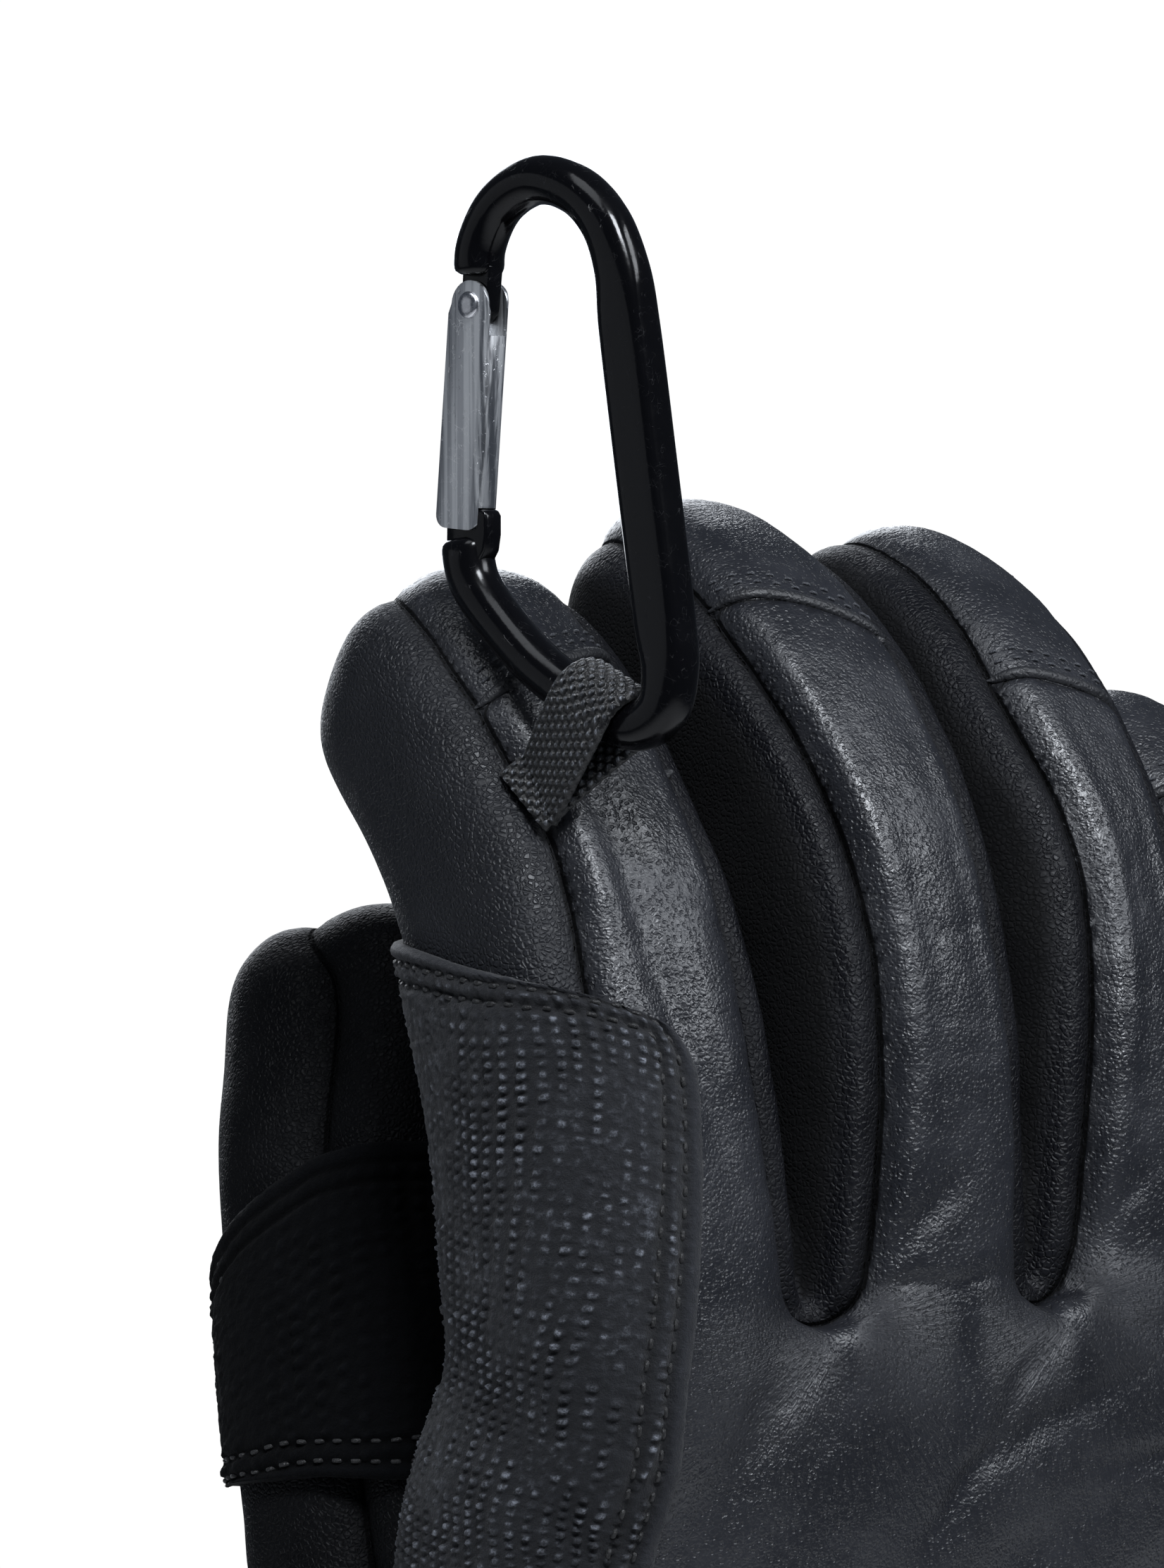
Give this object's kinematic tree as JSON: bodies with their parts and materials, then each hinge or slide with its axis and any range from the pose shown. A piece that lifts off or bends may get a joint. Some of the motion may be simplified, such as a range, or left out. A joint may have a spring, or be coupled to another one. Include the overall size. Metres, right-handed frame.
{
  "type": "snowboard glove with clip",
  "caption": "Padded leather right-hand snowboard glove with grip patches, hung by a webbing loop from a small carabiner with a sprung gate.",
  "frame": {"origin": "inside the carabiner's top bow, where the glove hangs", "axes": "+Z from the cuff towards the fingertips, +X from the thumb towards the little finger, -Y is the back of the hand"},
  "size_m": [0.1172, 0.0926, 0.2976],
  "materials": {
    "back_leather": "semi-gloss fine-grained black",
    "side_leather": "satin pebbled black",
    "palm_leather": "satin black",
    "grip_leather": "matt embossed blue-black",
    "webbing": "woven black",
    "black_metal": "gloss anodised black",
    "bare_aluminium": "brushed",
    "rivet_steel": "satin"
  },
  "bodies": {
    "glove": {"back_panel": "back_leather", "palm_panel": "palm_leather", "index_side_panel": "side_leather", "fourchette_index_middle": "side_leather", "fourchette_middle_ring": "side_leather", "fourchette_ring_little": "side_leather", "little_side_panel": "side_leather", "fingertip_cap_index": "back_leather", "fingertip_cap_middle": "back_leather", "fingertip_cap_ring": "back_leather", "fingertip_cap_little": "back_leather", "thumb_outer_panel": "side_leather", "thumb_inner_panel": "side_leather", "index_grip_patch": "grip_leather", "thumb_grip_patch": "grip_leather", "cuff_panel": "side_leather", "hang_loop": "webbing", "clip_frame": "black_metal"},
    "gate": {"clip_gate": "bare_aluminium", "gate_rivet": "rivet_steel"}
  },
  "joints": [
    {"name": "gate_hinge", "type": "hinge", "parent": "glove", "child": "gate", "pos_m": [-0.00198, 0.01021, -0.0089], "axis": [-0.9816, -0.1908, 0], "range_deg": [0, 28], "stiffness_Nm_per_rad": 0.05, "springref_deg": -20.05}
  ]
}
